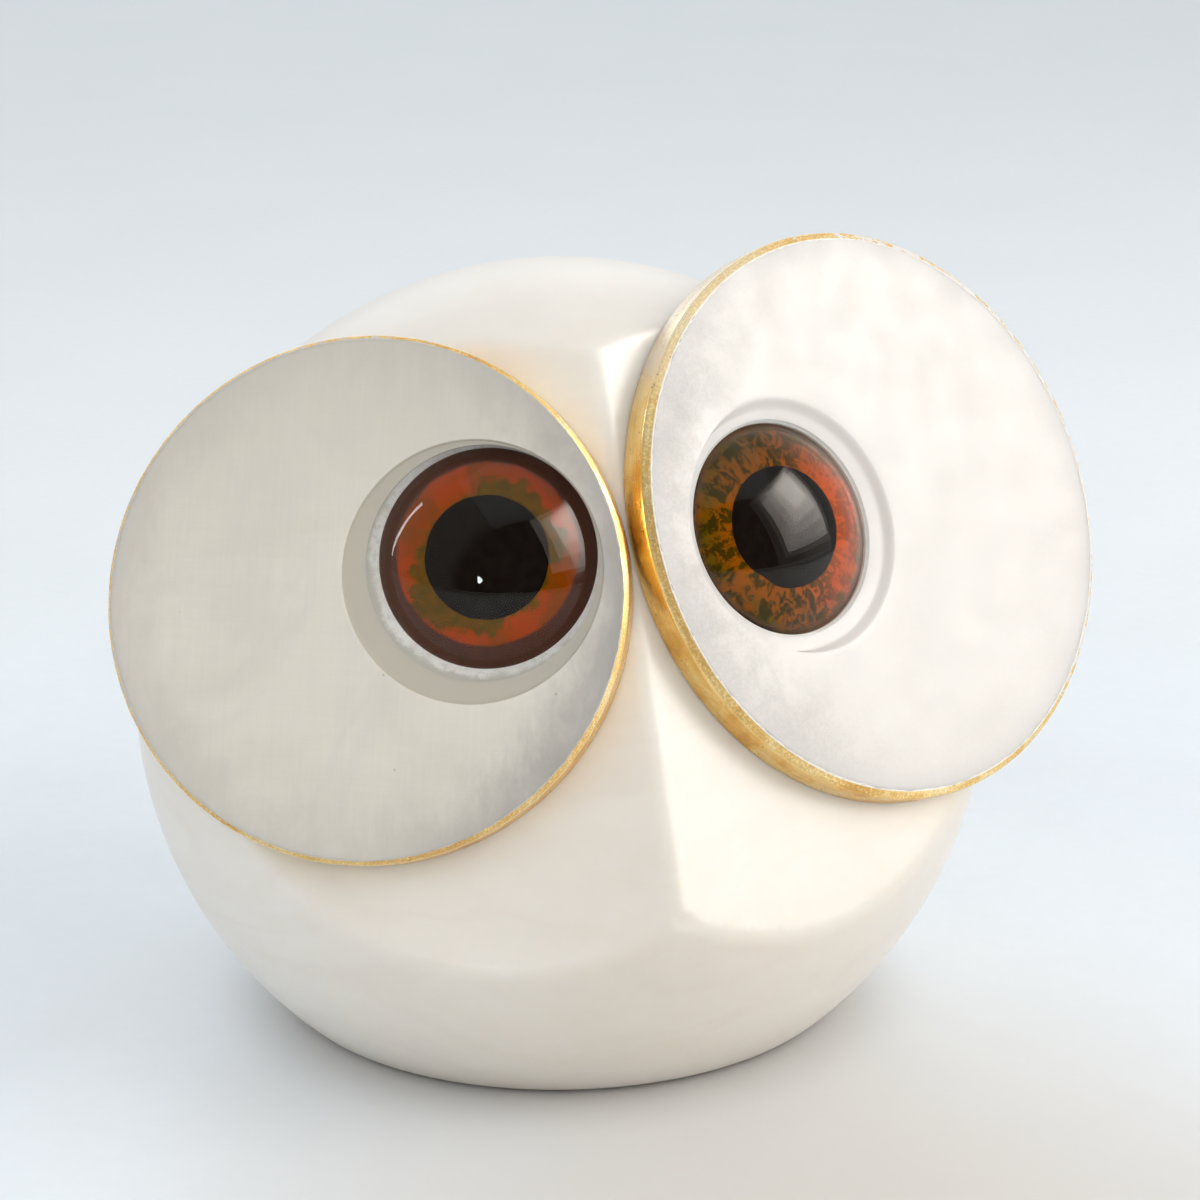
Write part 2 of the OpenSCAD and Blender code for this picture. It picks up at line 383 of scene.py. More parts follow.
def alabaster_right():
    """Warm white sugary alabaster that turns a little grey and grainy near its edge."""
    m = Tree("right_disc_alabaster", Subsurface_Weight=0.35, Subsurface_Scale=0.004,
             Subsurface_Radius=(1.0, 0.9, 0.8), IOR=1.5)
    p = m.coords()
    cloud = m.grain(p, (30, 22, 30), (0, 0, 0.8), 5, 0.6, 1.0)
    colour = m.mix(m.fade(cloud, 0.35, 0.7), (0.785, 0.75, 0.71), (0.76, 0.72, 0.675))
    reach = m.reach(p)
    patch = m.noise(p, 150, 5, 0.7, 0.3)
    edge = m.fade(m.plus(reach, m.fade(patch, 0.3, 0.7, -4 * MM, 4 * MM)), 32 * MM, 48 * MM)
    sugar = m.noise(p, 1700, 3, 0.7)
    leftness = m.fade(m.along(p, "X"), -38 * MM, -8 * MM, 1.0, 0.12)
    edge = m.times(edge, leftness)
    colour = m.mix(edge, colour, (0.53, 0.50, 0.465))
    colour = m.mix(m.fade(sugar, 0.40, 0.62, 0.0, 0.22), colour, (0.80, 0.765, 0.73))
    colour = m.mix(m.fade(reach, 43 * MM, 48 * MM, 0.0, 0.4), colour, (0.58, 0.56, 0.55))
    pits = m.times(m.fade(sugar, 0.28, 0.42, 1.0, 0.0), edge)
    colour = m.mix(m.times(pits, 0.5), colour, (0.60, 0.59, 0.59))
    m.set("Base Color", colour)
    m.set("Roughness", m.fade(m.noise(p, 140, 3, 0.6), 0.3, 0.7, 0.40, 0.55))
    m.bump(sugar, 0.015 * MM, 0.4)
    return m.material


def gold_leaf(disc, stone, worn_at, worn_by, pale_highlight_at, pale_highlight_by, shoulder_highlight, edge_highlight):
    """Burnished gold leaf: streaked round the side, stippled on the bevel, worn through at its inner edge.

    It is most worn in the direction worn_at, in degrees. The arguments after the wear's give the direction in
    degrees and the strength of a painted highlight, a pale silvery sheen on the leaf, then the strengths of
    the painted highlight lines along the bevel's outer and inner corners.
    """
    m = Tree(disc.side + "_gold_leaf")
    p = m.coords()
    reach, height = m.reach(p), m.along(p, "Z")
    unrolled = m.node("CombineXYZ", m.times(m.angle(p), disc.r), reach, height).outputs[0]
    streak = m.grain(unrolled, (90, 2600, 3400), (0, 0, 0), 4, 0.65)
    patch = m.noise(unrolled, 130, 4, 0.6, 0.4)
    stipple = m.noise(unrolled, 2400, 3, 0.7)
    gold = m.ramp(patch, (0.28, (0.68, 0.36, 0.075)), (0.42, (0.90, 0.57, 0.17)),
                  (0.58, (1.0, 0.75, 0.32)), (0.75, (1.0, 0.84, 0.50)))
    gold = m.mix(m.fade(streak, 0.35, 0.62, 0.40, 0.0), gold, (0.66, 0.36, 0.09))
    on_bevel = m.fade(height, disc.shoulder_z - 0.1 * MM, disc.shoulder_z + 0.25 * MM)
    dull = m.times(on_bevel, m.fade(stipple, 0.36, 0.62, 0.42, 0.0))
    gold = m.mix(dull, gold, (0.44, 0.31, 0.13))
    shine = m.times(on_bevel, m.fade(stipple, 0.52, 0.68, 0.0, 0.55))
    gold = m.mix(shine, gold, (1.0, 0.88, 0.55))
    # Painted highlight: a pale silvery sheen coloured into the leaf on one side, stronger on its side face
    # than on the bevel.
    pale_highlight_side = m.fade(m.towards(p, pale_highlight_at), 0.89, 0.975, 0.0, pale_highlight_by)
    thin = m.times(pale_highlight_side, m.fade(patch, 0.30, 0.62, 1.0, 0.6))
    thin = m.times(thin, m.fade(on_bevel, 0.0, 1.0, 1.0, 0.45))
    gold = m.mix(thin, gold, (0.88, 0.84, 0.76))
    # Painted highlight: a pale gold line along the bevel's outer corner, partly the burnish of the leaf
    # there.
    corner = m.apart(height, disc.shoulder_z - 0.05 * MM)
    gold = m.mix(m.fade(corner, 0.06 * MM, 0.22 * MM, shoulder_highlight, 0.0), gold, (1.0, 0.90, 0.62))
    chips = m.noise(unrolled, 520, 4, 0.75, 0.5)
    near_edge = m.fade(reach, disc.face_r - 0.05 * MM, disc.face_r + 0.40 * MM, 0.72, 0.27)
    worn_side = m.times(m.fade(m.towards(p, worn_at), 0.0, 0.6, 0.0, worn_by), on_bevel)
    worn = m.fade(m.minus(m.plus(near_edge, worn_side), chips), 0.0, 0.03)
    bole = m.fade(m.noise(unrolled, 700, 3, 0.7), 0.66, 0.70)
    gold = m.mix(m.times(bole, 0.6), gold, (0.30, 0.09, 0.03))
    colour = m.mix(worn, gold, stone)
    # Painted highlight: a near-white line along the bevel's inner corner, where the leaf is made
    # non-metallic.
    inner_edge_highlight = m.apart(reach, disc.face_r + 0.10 * MM)
    inner_edge_highlight = m.times(m.fade(inner_edge_highlight, 0.06 * MM, 0.22 * MM, edge_highlight, 0.0), on_bevel)
    m.set("Base Color", m.mix(inner_edge_highlight, colour, (1.0, 0.97, 0.90)))
    bare = m.math("MAXIMUM", worn, m.times(bole, 0.8))
    bare = m.math("MAXIMUM", bare, m.times(on_bevel, m.fade(stipple, 0.40, 0.62, 0.22, 0.48)))
    m.set("Metallic", m.minus(1.0, m.math("MAXIMUM", bare, inner_edge_highlight)))
    rough = m.plus(m.fade(patch, 0.3, 0.7, 0.34, 0.20), m.times(on_bevel, 0.14))
    m.set("Roughness", m.plus(rough, m.times(worn, 0.2)))
    m.bump(streak, 0.035 * MM, 0.8)
    m.bump(stipple, 0.03 * MM, m.fade(on_bevel, 0.0, 1.0, 0.12, 0.55))
    m.bump(patch, 0.10 * MM, 0.6)
    return m.material


def eye_glass():
    """Clear glass with a polished face. Lamps light the paint behind it."""
    m = Tree("eye_glass", Base_Color=(1.0, 0.985, 0.97), Transmission_Weight=1.0, IOR=1.5, Roughness=0.0,
             Specular_Tint=(0.50, 0.48, 0.46, 1))
    p = m.coords()
    m.bump(m.noise(p, 70, 2, 0.4), 0.02 * MM, 0.25)
    clear = m.node("BsdfTransparent")
    shadow = m.node("LightPath").outputs["Is Shadow Ray"]
    both = m.node("MixShader", shadow, m.shader.outputs[0], clear.outputs[0])
    m.tree.links.new(both.outputs[0], m.tree.nodes["Material Output"].inputs["Surface"])
    return m.material


def fibres(m, p, turns, lengthways):
    """Noise that runs outwards from the z axis, like the fibres of an iris.

    It changes faster round the axis with turns, and faster outwards with lengthways.
    """
    round_way = m.vector("MULTIPLY", m.vector("NORMALIZE", m.flat(p)), (turns, turns, turns))
    outwards = m.node("CombineXYZ", 0.0, 0.0, m.times(m.reach(p), lengthways)).outputs[0]
    return m.noise(m.vector("ADD", round_way, outwards), 1.0, 4, 0.65, 0.3)


def iris_left():
    """Painted iris: red-brown with olive clouds around the pupil and a wide dark brown rim."""
    m = Tree("left_iris_paint", Roughness=0.5, Specular_IOR_Level=0.0)
    p = m.coords()
    cloud = m.noise(p, 150, 4, 0.55, 0.8)
    red = m.mix(m.fade(cloud, 0.35, 0.65), (0.34, 0.044, 0.001), (0.20, 0.046, 0.001))
    lobes = fibres(m, p, 1.8, 60)
    ragged = m.noise(p, 520, 4, 0.7, 0.5)
    spread = m.fade(lobes, 0.32, 0.66, -1.6 * MM, 0.9 * MM)
    spread = m.plus(spread, m.fade(ragged, 0.3, 0.7, -0.8 * MM, 0.8 * MM))
    for degrees, how_far in ((232, 3.9 * MM), (52, 2.8 * MM)):
        spread = m.plus(spread, m.fade(m.towards(p, degrees), 0.35, 1.0, 0.0, how_far))
    olive = m.mix(m.fade(m.noise(p, 700, 3, 0.7), 0.35, 0.65), (0.062, 0.045, 0.0005), (0.115, 0.058, 0.0005))
    olive_here = m.fade(m.minus(m.reach(p), spread), 8.5 * MM, 9.9 * MM, 0.94, 0.0)
    colour = m.mix(olive_here, red, olive)
    flecks = m.noise(p, 1200, 3, 0.7)
    colour = m.mix(m.fade(flecks, 0.56, 0.66, 0.0, 0.35), colour, (0.14, 0.050, 0.004))
    wobble = m.times(m.minus(m.noise(p, 200, 2, 0.5), 0.5), 0.9 * MM)
    from_middle = m.vector("DISTANCE", m.flat(p), (0.0, 0.7 * MM, 0.0))
    rim = m.fade(m.plus(from_middle, wobble), 13.6 * MM, 14.4 * MM)
    dark = m.mix(m.noise(p, 400, 2, 0.5), (0.060, 0.021, 0.012), (0.080, 0.030, 0.017))
    m.set("Base Color", m.mix(rim, colour, dark))
    m.bump(flecks, 0.01 * MM, 0.3)
    return m.material


def iris_right():
    """Painted iris: orange with olive-green radial flecks and a thin grey-brown rim."""
    m = Tree("right_iris_paint", Roughness=0.5, Specular_IOR_Level=0.0)
    p = m.coords()
    reach = m.reach(p)
    sideways = m.along(p, "X")
    # The orange gets brighter towards the right, partly a painted highlight, and darker and browner towards
    # the top.
    base = m.mix(m.fade(sideways, -4 * MM, 11 * MM), (0.24, 0.066, 0.0005), (0.56, 0.085, 0.010))
    base = m.mix(m.fade(m.along(p, "Y"), 3 * MM, 13 * MM, 0.0, 0.7), base, (0.13, 0.050, 0.003))
    streaks = fibres(m, p, 7.0, 300)
    blots = m.noise(p, 480, 3, 0.7, 0.9)
    fleck = m.times(m.fade(streaks, 0.43, 0.53), m.fade(blots, 0.38, 0.48))
    fleck = m.times(fleck, m.fade(sideways, 1 * MM, 11 * MM, 1.0, 0.45))
    green = m.fade(m.noise(p, 170, 3, 0.6, 0.5), 0.42, 0.62)
    outside = m.fade(reach, 10.5 * MM, 15.0 * MM)
    colour = m.mix(m.times(green, m.times(outside, 0.7)), base, (0.060, 0.066, 0.002))
    colour = m.mix(m.times(fleck, 0.92), colour, (0.026, 0.024, 0.001))
    rim = m.fade(m.plus(reach, m.fade(blots, 0.3, 0.7, -0.5 * MM, 0.5 * MM)), 15.0 * MM, 16.6 * MM)
    colour = m.mix(m.times(rim, 0.8), colour, (0.105, 0.060, 0.030))
    # Painted shadow: a near-black line near the paint's edge at its lower left, for the shadow in the gap
    # between the stone's edge and the glass.
    lower_left = m.fade(m.towards(p, 200), 0.2, 0.8)
    uneven = m.plus(reach, m.fade(blots, 0.3, 0.7, -0.2 * MM, 0.2 * MM))
    line = m.times(m.fade(uneven, 16.3 * MM, 16.7 * MM), lower_left)
    colour = m.mix(m.times(line, 0.9), colour, (0.016, 0.010, 0.006))
    m.set("Base Color", colour)
    m.bump(blots, 0.01 * MM, 0.3)
    return m.material


def pupil_paint():
    """Near-black paint with a slightly uneven coat."""
    m = Tree("pupil_paint", Specular_IOR_Level=0.0)
    p = m.coords()
    coat = m.noise(p, 500, 3, 0.6)
    m.set("Base Color", m.mix(m.fade(coat, 0.3, 0.7), (0.005, 0.003, 0.002), (0.008, 0.006, 0.004)))
    m.set("Roughness", m.fade(coat, 0.3, 0.7, 0.45, 0.60))
    return m.material


def putty(light, dark, outer, speckle):
    """Hand-smoothed white putty, a little grainy. Towards its outer edge it takes the outer colour, which on
    the left disc is the dish's painted shade.
    """
    m = Tree("putty", Subsurface_Weight=0.2, Subsurface_Scale=0.002)
    p = m.coords()
    grain = m.noise(p, 900, 4, 0.7)
    smear = m.noise(p, 260, 3, 0.6, 0.8)
    colour = m.mix(m.fade(smear, 0.3, 0.7), light, dark)
    reach = m.plus(m.reach(p), m.fade(smear, 0.3, 0.7, -0.4 * MM, 0.4 * MM))
    colour = m.mix(m.fade(reach, 18.7 * MM, 19.9 * MM), colour, outer)
    m.set("Base Color", m.mix(m.fade(grain, 0.50, 0.66, 0.0, speckle), colour, (0.50, 0.48, 0.43)))
    m.set("Roughness", m.fade(grain, 0.3, 0.7, 0.55, 0.75))
    m.bump(grain, 0.05 * MM, 0.6)
    m.bump(smear, 0.20 * MM, 0.5)
    return m.material


def felt():
    """Grey-brown wool felt with short tangled fibres."""
    m = Tree("felt", Roughness=0.95, Sheen_Weight=0.4, Sheen_Roughness=0.6)
    p = m.coords()
    wool = m.grain(p, (2600, 700, 1600), (0.3, 0.2, 0.9), 4, 0.75, 2.0)
    cross = m.grain(p, (700, 2800, 1600), (0.1, 0.4, 0.3), 4, 0.75, 2.0)
    tangle = m.times(m.plus(wool, cross), 0.5)
    blotch = m.noise(p, 120, 3, 0.6)
    colour = m.ramp(tangle, (0.35, (0.07, 0.06, 0.05)), (0.5, (0.13, 0.115, 0.10)),
                    (0.65, (0.20, 0.18, 0.16)))
    m.set("Base Color", m.mix(m.fade(blotch, 0.3, 0.7, 0.0, 0.35), colour, (0.10, 0.09, 0.08)))
    m.bump(tangle, 0.20 * MM, 0.8)
    return m.material


def adhesive():
    """Amber resin film that shows as a thin line between a disc and its facet."""
    m = Tree("adhesive", Coat_Weight=0.3)
    p = m.object_coords()
    flow = m.noise(p, 180, 3, 0.6, 0.5)
    m.set("Base Color", m.mix(flow, (0.62, 0.55, 0.38), (0.74, 0.68, 0.50)))
    m.set("Roughness", m.fade(flow, 0.3, 0.7, 0.25, 0.45))
    m.bump(flow, 0.05 * MM, 0.5)
    return m.material


def pin_steel():
    """Drawn steel rod with lengthwise marks and a light oxide bloom."""
    m = Tree("pin_steel", Metallic=1.0)
    p = m.object_coords()
    drawn = m.grain(p, (4000, 200, 4000), (0, 0, 0), 3, 0.6)
    bloom = m.noise(p, 500, 3, 0.6)
    m.set("Base Color", m.mix(m.fade(bloom, 0.5, 0.75), (0.58, 0.58, 0.59), (0.38, 0.34, 0.30)))
    m.set("Roughness", m.fade(drawn, 0.3, 0.7, 0.22, 0.42))
    m.bump(drawn, 0.01 * MM, 0.6)
    return m.material


def seal_varnish():
    """Dark brown varnish brushed over the back of the paint."""
    m = Tree("seal_varnish", Coat_Weight=0.5)
    p = m.object_coords()
    brush = m.grain(p, (1800, 240, 240), (0, 0, 0.6), 3, 0.6)
    m.set("Base Color", m.mix(brush, (0.030, 0.016, 0.010), (0.070, 0.038, 0.022)))
    m.set("Roughness", m.fade(brush, 0.3, 0.7, 0.25, 0.45))
    m.bump(brush, 0.02 * MM, 0.6)
    return m.material


# ---------------- mesh helpers

def turns_of(count):
    """Angles of a number of points spaced evenly round a circle."""
    return np.arange(count) * 2 * math.pi / count


def circle(r, z, count, at=(0, 0)):
    """Points of a circle. r and z may be single numbers or one value for each point."""
    angles = turns_of(count)
    return np.stack([at[0] + r * np.cos(angles), at[1] + r * np.sin(angles), z + 0 * angles], 1)


def ring_mesh(name, rings, looped=False):
    """A closed skin through rings of equal count. Its ends close on a middle point, or meet if looped."""
    count = len(rings[0])
    points = [tuple(point) for ring in rings for point in ring]
    spans = [(i, i + 1) for i in range(len(rings) - 1)]
    if looped:
        spans.append((len(rings) - 1, 0))
    faces = []
    for low, high in spans:
        for j in range(count):
            k = (j + 1) % count
            faces.append((low * count + j, low * count + k, high * count + k, high * count + j))
    if not looped:
        for ring_index in (0, len(rings) - 1):
            middle = len(points)
            points.append(tuple(np.mean(rings[ring_index], axis=0)))
            start = ring_index * count
            faces += [(start + j, start + (j + 1) % count, middle) for j in range(count)]
    mesh = bpy.data.meshes.new(name)
    mesh.from_pydata(points, [], faces)
    work = bmesh.new()
    work.from_mesh(mesh)
    bmesh.ops.recalc_face_normals(work, faces=work.faces)
    work.to_mesh(mesh)
    work.free()
    return mesh


def place(mesh, material, matrix, replaced, sharp=35):
    """Makes a mesh into a piece of the figurine that stands for the named CAD nodes."""
    own_place = mesh.attributes.new("own_place", "FLOAT_VECTOR", "POINT")
    own_place.data.foreach_set("vector", [number for v in mesh.vertices for number in v.co])
    mesh.transform(matrix)
    mesh.materials.append(material)
    mesh.shade_smooth()
    if sharp:
        mesh.set_sharp_from_angle(angle=math.radians(sharp))
    piece = bpy.data.objects.new(mesh.name, mesh)
    scene.collection.objects.link(piece)
    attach(piece, "root")
    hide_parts(*replaced)
    return piece


def smooth_share(share):
    """A smooth step from 0 to 1 as share goes from 0 to 1."""
    share = np.clip(share, 0, 1)
    return share ** 2 * (3 - 2 * share)


def ripple(angles, seed, waves, fall=0.7):
    """A smooth random wave round a circle, between about -1 and 1."""
    random = np.random.default_rng(seed)
    total = np.zeros_like(angles)
    for k in range(1, waves + 1):
        total += k ** -fall * np.cos(k * angles + random.uniform(0, 2 * math.pi)) * random.uniform(0.4, 1.0)
    return total / np.abs(total).max()


# ---------------- the ball

BALL_SUBDIVISIONS = 7
EDGE_BLEND = 1.3 * MM
BASE_BLEND = 1.0 * MM
CREASE_BAND = 1.7 * MM
CREASE_ROUNDS = 2
CHIP_DEPTH = 0.45 * MM
CHIP_SIZE = 1.1 * MM
SETTLE_ROUNDS = 30
SETTLE_SHARE = 0.9
# Each chip's distance to the right of the ridge's foot, and its share of the depth.
CHIPS = ((0.0, 1.0), (1.2 * MM, 0.7), (2.3 * MM, 0.5))
CHIP_FALL = 0.15


def soft_max(a, b, blend):
    """The larger of two distances, with the corner between them rounded."""
    overlap = np.maximum(blend - np.abs(a - b), 0) / blend
    return np.maximum(a, b) + overlap ** 2 * blend / 4


def ridge_foot():
    """Where the ridge between the facets runs out into the ball below, from the ball's centre."""
    normals = np.array([left.normal, right.normal])
    on_line = np.linalg.lstsq(normals, np.array([left.facet_d, right.facet_d]), rcond=None)[0]
    along = np.cross(left.normal, right.normal)
    along /= np.linalg.norm(along)
    if along[2] > 0:
        along = -along
    return on_line + along * math.sqrt(ball.r ** 2 - on_line @ on_line)


FOOT = ridge_foot()


def ball_distance(p):
    """Signed distance from the ball's skin to points given from the ball's centre, negative inside."""
    skin = np.linalg.norm(p, axis=1) - ball.r
    skin = soft_max(skin, p @ left.normal - left.facet_d, EDGE_BLEND)
    skin = soft_max(skin, p @ right.normal - right.facet_d, EDGE_BLEND)
    for step, depth in CHIPS:
        chip = FOOT + np.array([step, 0, -CHIP_FALL * step])
        away = np.linalg.norm(p - chip, axis=1)
        skin = skin + CHIP_DEPTH * depth * np.exp(-(away / CHIP_SIZE) ** 2)
    return soft_max(skin, -p[:, 2] - (ball.centre[2] - ball.base_z), BASE_BLEND)


def ball_points(directions):
    """Points of the skin along unit directions from the ball's centre."""
    reach = np.full(len(directions), ball.r)
    for _ in range(SETTLE_ROUNDS):
        reach = reach - SETTLE_SHARE * ball_distance(directions * reach[:, None])
    return directions * reach[:, None]


def ball_normals(p):
    """Unit normals of the skin at points given from the ball's centre."""
    step = 0.02 * MM
    slope = [ball_distance(p + step * axis) - ball_distance(p - step * axis) for axis in np.eye(3)]
    normals = np.stack(slope, 1)
    return normals / np.linalg.norm(normals, axis=1)[:, None]


def near_crease(p):
    """True for points near an edge between the ball, its facets and its base."""
    sides = np.stack([
        np.linalg.norm(p, axis=1) - ball.r,
        p @ left.normal - left.facet_d,
        p @ right.normal - right.facet_d,
        -p[:, 2] - (ball.centre[2] - ball.base_z),
    ])
    sides.sort(axis=0)
    return sides[-1] - sides[-2] < CREASE_BAND


def unit_directions(bm):
    """Unit vectors from the ball's centre to each vertex."""
    points = np.array([v.co for v in bm.verts])
    return points / np.linalg.norm(points, axis=1)[:, None]


def make_body():
    """The ball with its two facets, flat base and pad recess, and a finer mesh along its creases."""
    bm = bmesh.new()
    bmesh.ops.create_icosphere(bm, subdivisions=BALL_SUBDIVISIONS, radius=1.0)
    for _ in range(CREASE_ROUNDS):
        close = near_crease(ball_points(unit_directions(bm)))
        bm.verts.index_update()
        edges = [e for e in bm.edges if close[e.verts[0].index] and close[e.verts[1].index]]
        bmesh.ops.subdivide_edges(bm, edges=edges, cuts=1, use_grid_fill=True)
        bmesh.ops.triangulate(bm, faces=[f for f in bm.faces if len(f.verts) > 3])
    for vertex, point in zip(bm.verts, ball_points(unit_directions(bm)) + ball.centre):
        vertex.co = point
    mesh = bpy.data.meshes.new("stone_ball")
    bm.to_mesh(mesh)
    bm.free()
    cut_pad_recess(mesh)
    place(mesh, alabaster_ball(), Matrix.Identity(4), ["body"], sharp=0)
    shade_ball(mesh)


def cut_pad_recess(mesh):
    """Cuts the shallow round recess for the felt pad into the base."""
    cutter_mesh = bpy.data.meshes.new("recess")
    bm = bmesh.new()
    depth = 2 * ball.pad_t
    bmesh.ops.create_cone(bm, cap_ends=True, segments=192, radius1=ball.pad_r + 0.2 * MM,
                          radius2=ball.pad_r + 0.2 * MM, depth=depth)
    bmesh.ops.translate(bm, verts=bm.verts, vec=(0, 0, ball.pad_t - depth / 2))
    bm.to_mesh(cutter_mesh)
    bm.free()
    solid = bpy.data.objects.new("solid", mesh)
    cutter = bpy.data.objects.new("cutter", cutter_mesh)
    for thing in (solid, cutter):
        scene.collection.objects.link(thing)
    cut = solid.modifiers.new("cut", "BOOLEAN")
    cut.operation = "DIFFERENCE"
    cut.solver = "EXACT"
    cut.object = cutter
    result = bpy.data.meshes.new_from_object(solid.evaluated_get(bpy.context.evaluated_depsgraph_get()))
    work = bmesh.new()
    work.from_mesh(result)
    work.to_mesh(mesh)
    work.free()
    for thing in (solid, cutter):
        bpy.data.objects.remove(thing)
    bpy.data.meshes.remove(result)
    bpy.data.meshes.remove(cutter_mesh)


def shade_ball(mesh):
    """Gives the skin the true normals of its rounded shape, and keeps the base and its recess flat."""
    points = np.array([v.co for v in mesh.vertices]) - ball.centre
    smooth = ball_normals(points)
    normals = np.zeros((len(mesh.loops), 3))
    for face in mesh.polygons:
        on_base = all(mesh.vertices[i].co.z < ball.base_z + 2 * TOUCHING for i in face.vertices)
        over_pad = math.hypot(face.center.x, face.center.y) < ball.pad_r + 0.3 * MM
        in_recess = over_pad and face.center.z < ball.base_z + ball.pad_t
        for corner, vertex in zip(face.loop_indices, face.vertices):
            normals[corner] = face.normal if on_base or in_recess else smooth[vertex]
    mesh.normals_split_custom_set(normals.tolist())


def make_pad():
    """The felt pad: a thin disc with a soft, slightly fuzzy edge."""
    count = 360
    angles = turns_of(count)
    fuzz = 0.12 * MM * ripple(angles, 11, 90, 0.2)
    top, r = ball.pad_t, ball.pad_r - 0.15 * MM
    corner = 0.25 * MM
    profile = [(0.3 * r, 0), (0.6 * r, 0), (0.9 * r, 0), (r - corner, 0), (r - 0.3 * corner, 0.3 * corner),
               (r, corner), (r, top - corner), (r - 0.3 * corner, top - 0.3 * corner), (r - corner, top),
               (0.9 * r, top), (0.6 * r, top), (0.3 * r, top)]
    rings = [circle(reach + fuzz * (reach > 0.95 * r), z, count) for reach, z in profile]
    place(ring_mesh("felt_pad", rings), felt(), Matrix.Identity(4), ["base_pad"])


# ---------------- the discs

DISC_COUNT = 256
# The direction of a dish's right side, in radians from the x axis.
DISH_TURN = 0.2


class Dish:
    """The shallow dish around an eye, and the cup in it that the putty fills.

    step and depth are the rim's width and depth at its left and right sides, and near_cut is how far the
    left side is drawn in and the right side out. slope is the floor's fall towards the middle. The putty
    slopes down to the glass, and putty_lift is the share of that fall it doesn't make.
    """

    def __init__(self, disc, step, depth, slope, near_cut, cup_r, cup_shift, putty_lift):
        self.disc = disc
        self.step = step
        self.depth = depth
        self.slope = slope
        self.near_cut = near_cut
        self.cup_r = cup_r
        self.cup_at = disc.eye_at + np.array(cup_shift)
        self.putty_lift = putty_lift

    def rim(self, angles):
        """Radius, width and depth of the rim at angles around the dish's centre."""
        rightness = smooth_share((np.cos(angles - DISH_TURN) + 0.6) / 0.8)
        reach = self.disc.dish_r + self.near_cut[1] * rightness - self.near_cut[0] * (1 - rightness)
        width = self.step[0] + (self.step[1] - self.step[0]) * rightness
        return reach, width, self.depth[0] + (self.depth[1] - self.depth[0]) * rightness

    def height(self, points):
        """Height of the dish's surface at points in the disc's frame."""
        off = points[:, :2] - self.disc.dish_at
        reach, width, depth = self.rim(np.arctan2(off[:, 1], off[:, 0]))
        inside = reach - np.hypot(off[:, 0], off[:, 1])
        return self.disc.thick - depth * smooth_share(inside / width) - self.slope * np.maximum(inside, 0)


def make_stone(disc, dish, name, material):
    """The stone disc, with its bevel, its dish and the eye's pocket."""
    rim_r, rim_step, _ = dish.rim(turns_of(DISC_COUNT))
    back_corner = 0.1 * MM
    rings = [circle(share * disc.stone_r, 0, DISC_COUNT) for share in (0.25, 0.5, 0.75, 0.93)]
    rings.append(circle(disc.stone_r - back_corner, 0, DISC_COUNT))
    rings.append(circle(disc.stone_r, back_corner, DISC_COUNT))
    rings.append(circle(disc.stone_r, disc.shoulder_z, DISC_COUNT))
    for share in (0.06, 0.5, 0.94):
        reach = disc.stone_r + (disc.face_r - disc.stone_r) * share
        height = disc.shoulder_z + (disc.thick - disc.shoulder_z) * share
        rings.append(circle(reach, height, DISC_COUNT))
    for share in np.concatenate([[0.012], np.linspace(0.04, 0.97, 16)]):
        reach = disc.face_r + (rim_r - disc.face_r) * share
        rings.append(circle(reach, disc.thick, DISC_COUNT, disc.dish_at * share))
    for share in np.concatenate([np.linspace(0.0, 0.4, 5), np.linspace(0.5, 1.0, 4)]):
        ring = circle(rim_r - rim_step * share, 0, DISC_COUNT, disc.dish_at)
        ring[:, 2] = dish.height(ring)
        rings.append(ring)
    rim = rings[-1].copy()
    pocket = circle(dish.cup_r, 0, DISC_COUNT, dish.cup_at)
    for share in np.linspace(0.2, 1.0, 6):
        ring = rim + (pocket - rim) * share
        ring[:, 2] = dish.height(ring)
        rings.append(ring)
    top = rings[-1][:, 2]
    for share in (0.04, 0.3, 0.6, 1.0):
        rings.append(circle(dish.cup_r, top + (disc.pocket_z - top) * share, DISC_COUNT, dish.cup_at))
    for share in (0.9, 0.5, 0.2):
        rings.append(circle(share * dish.cup_r, disc.pocket_z, DISC_COUNT, dish.cup_at))
    mesh = ring_mesh(name, rings)
    place(mesh, material, disc.matrix, [disc.side + "_disc"], sharp=28)


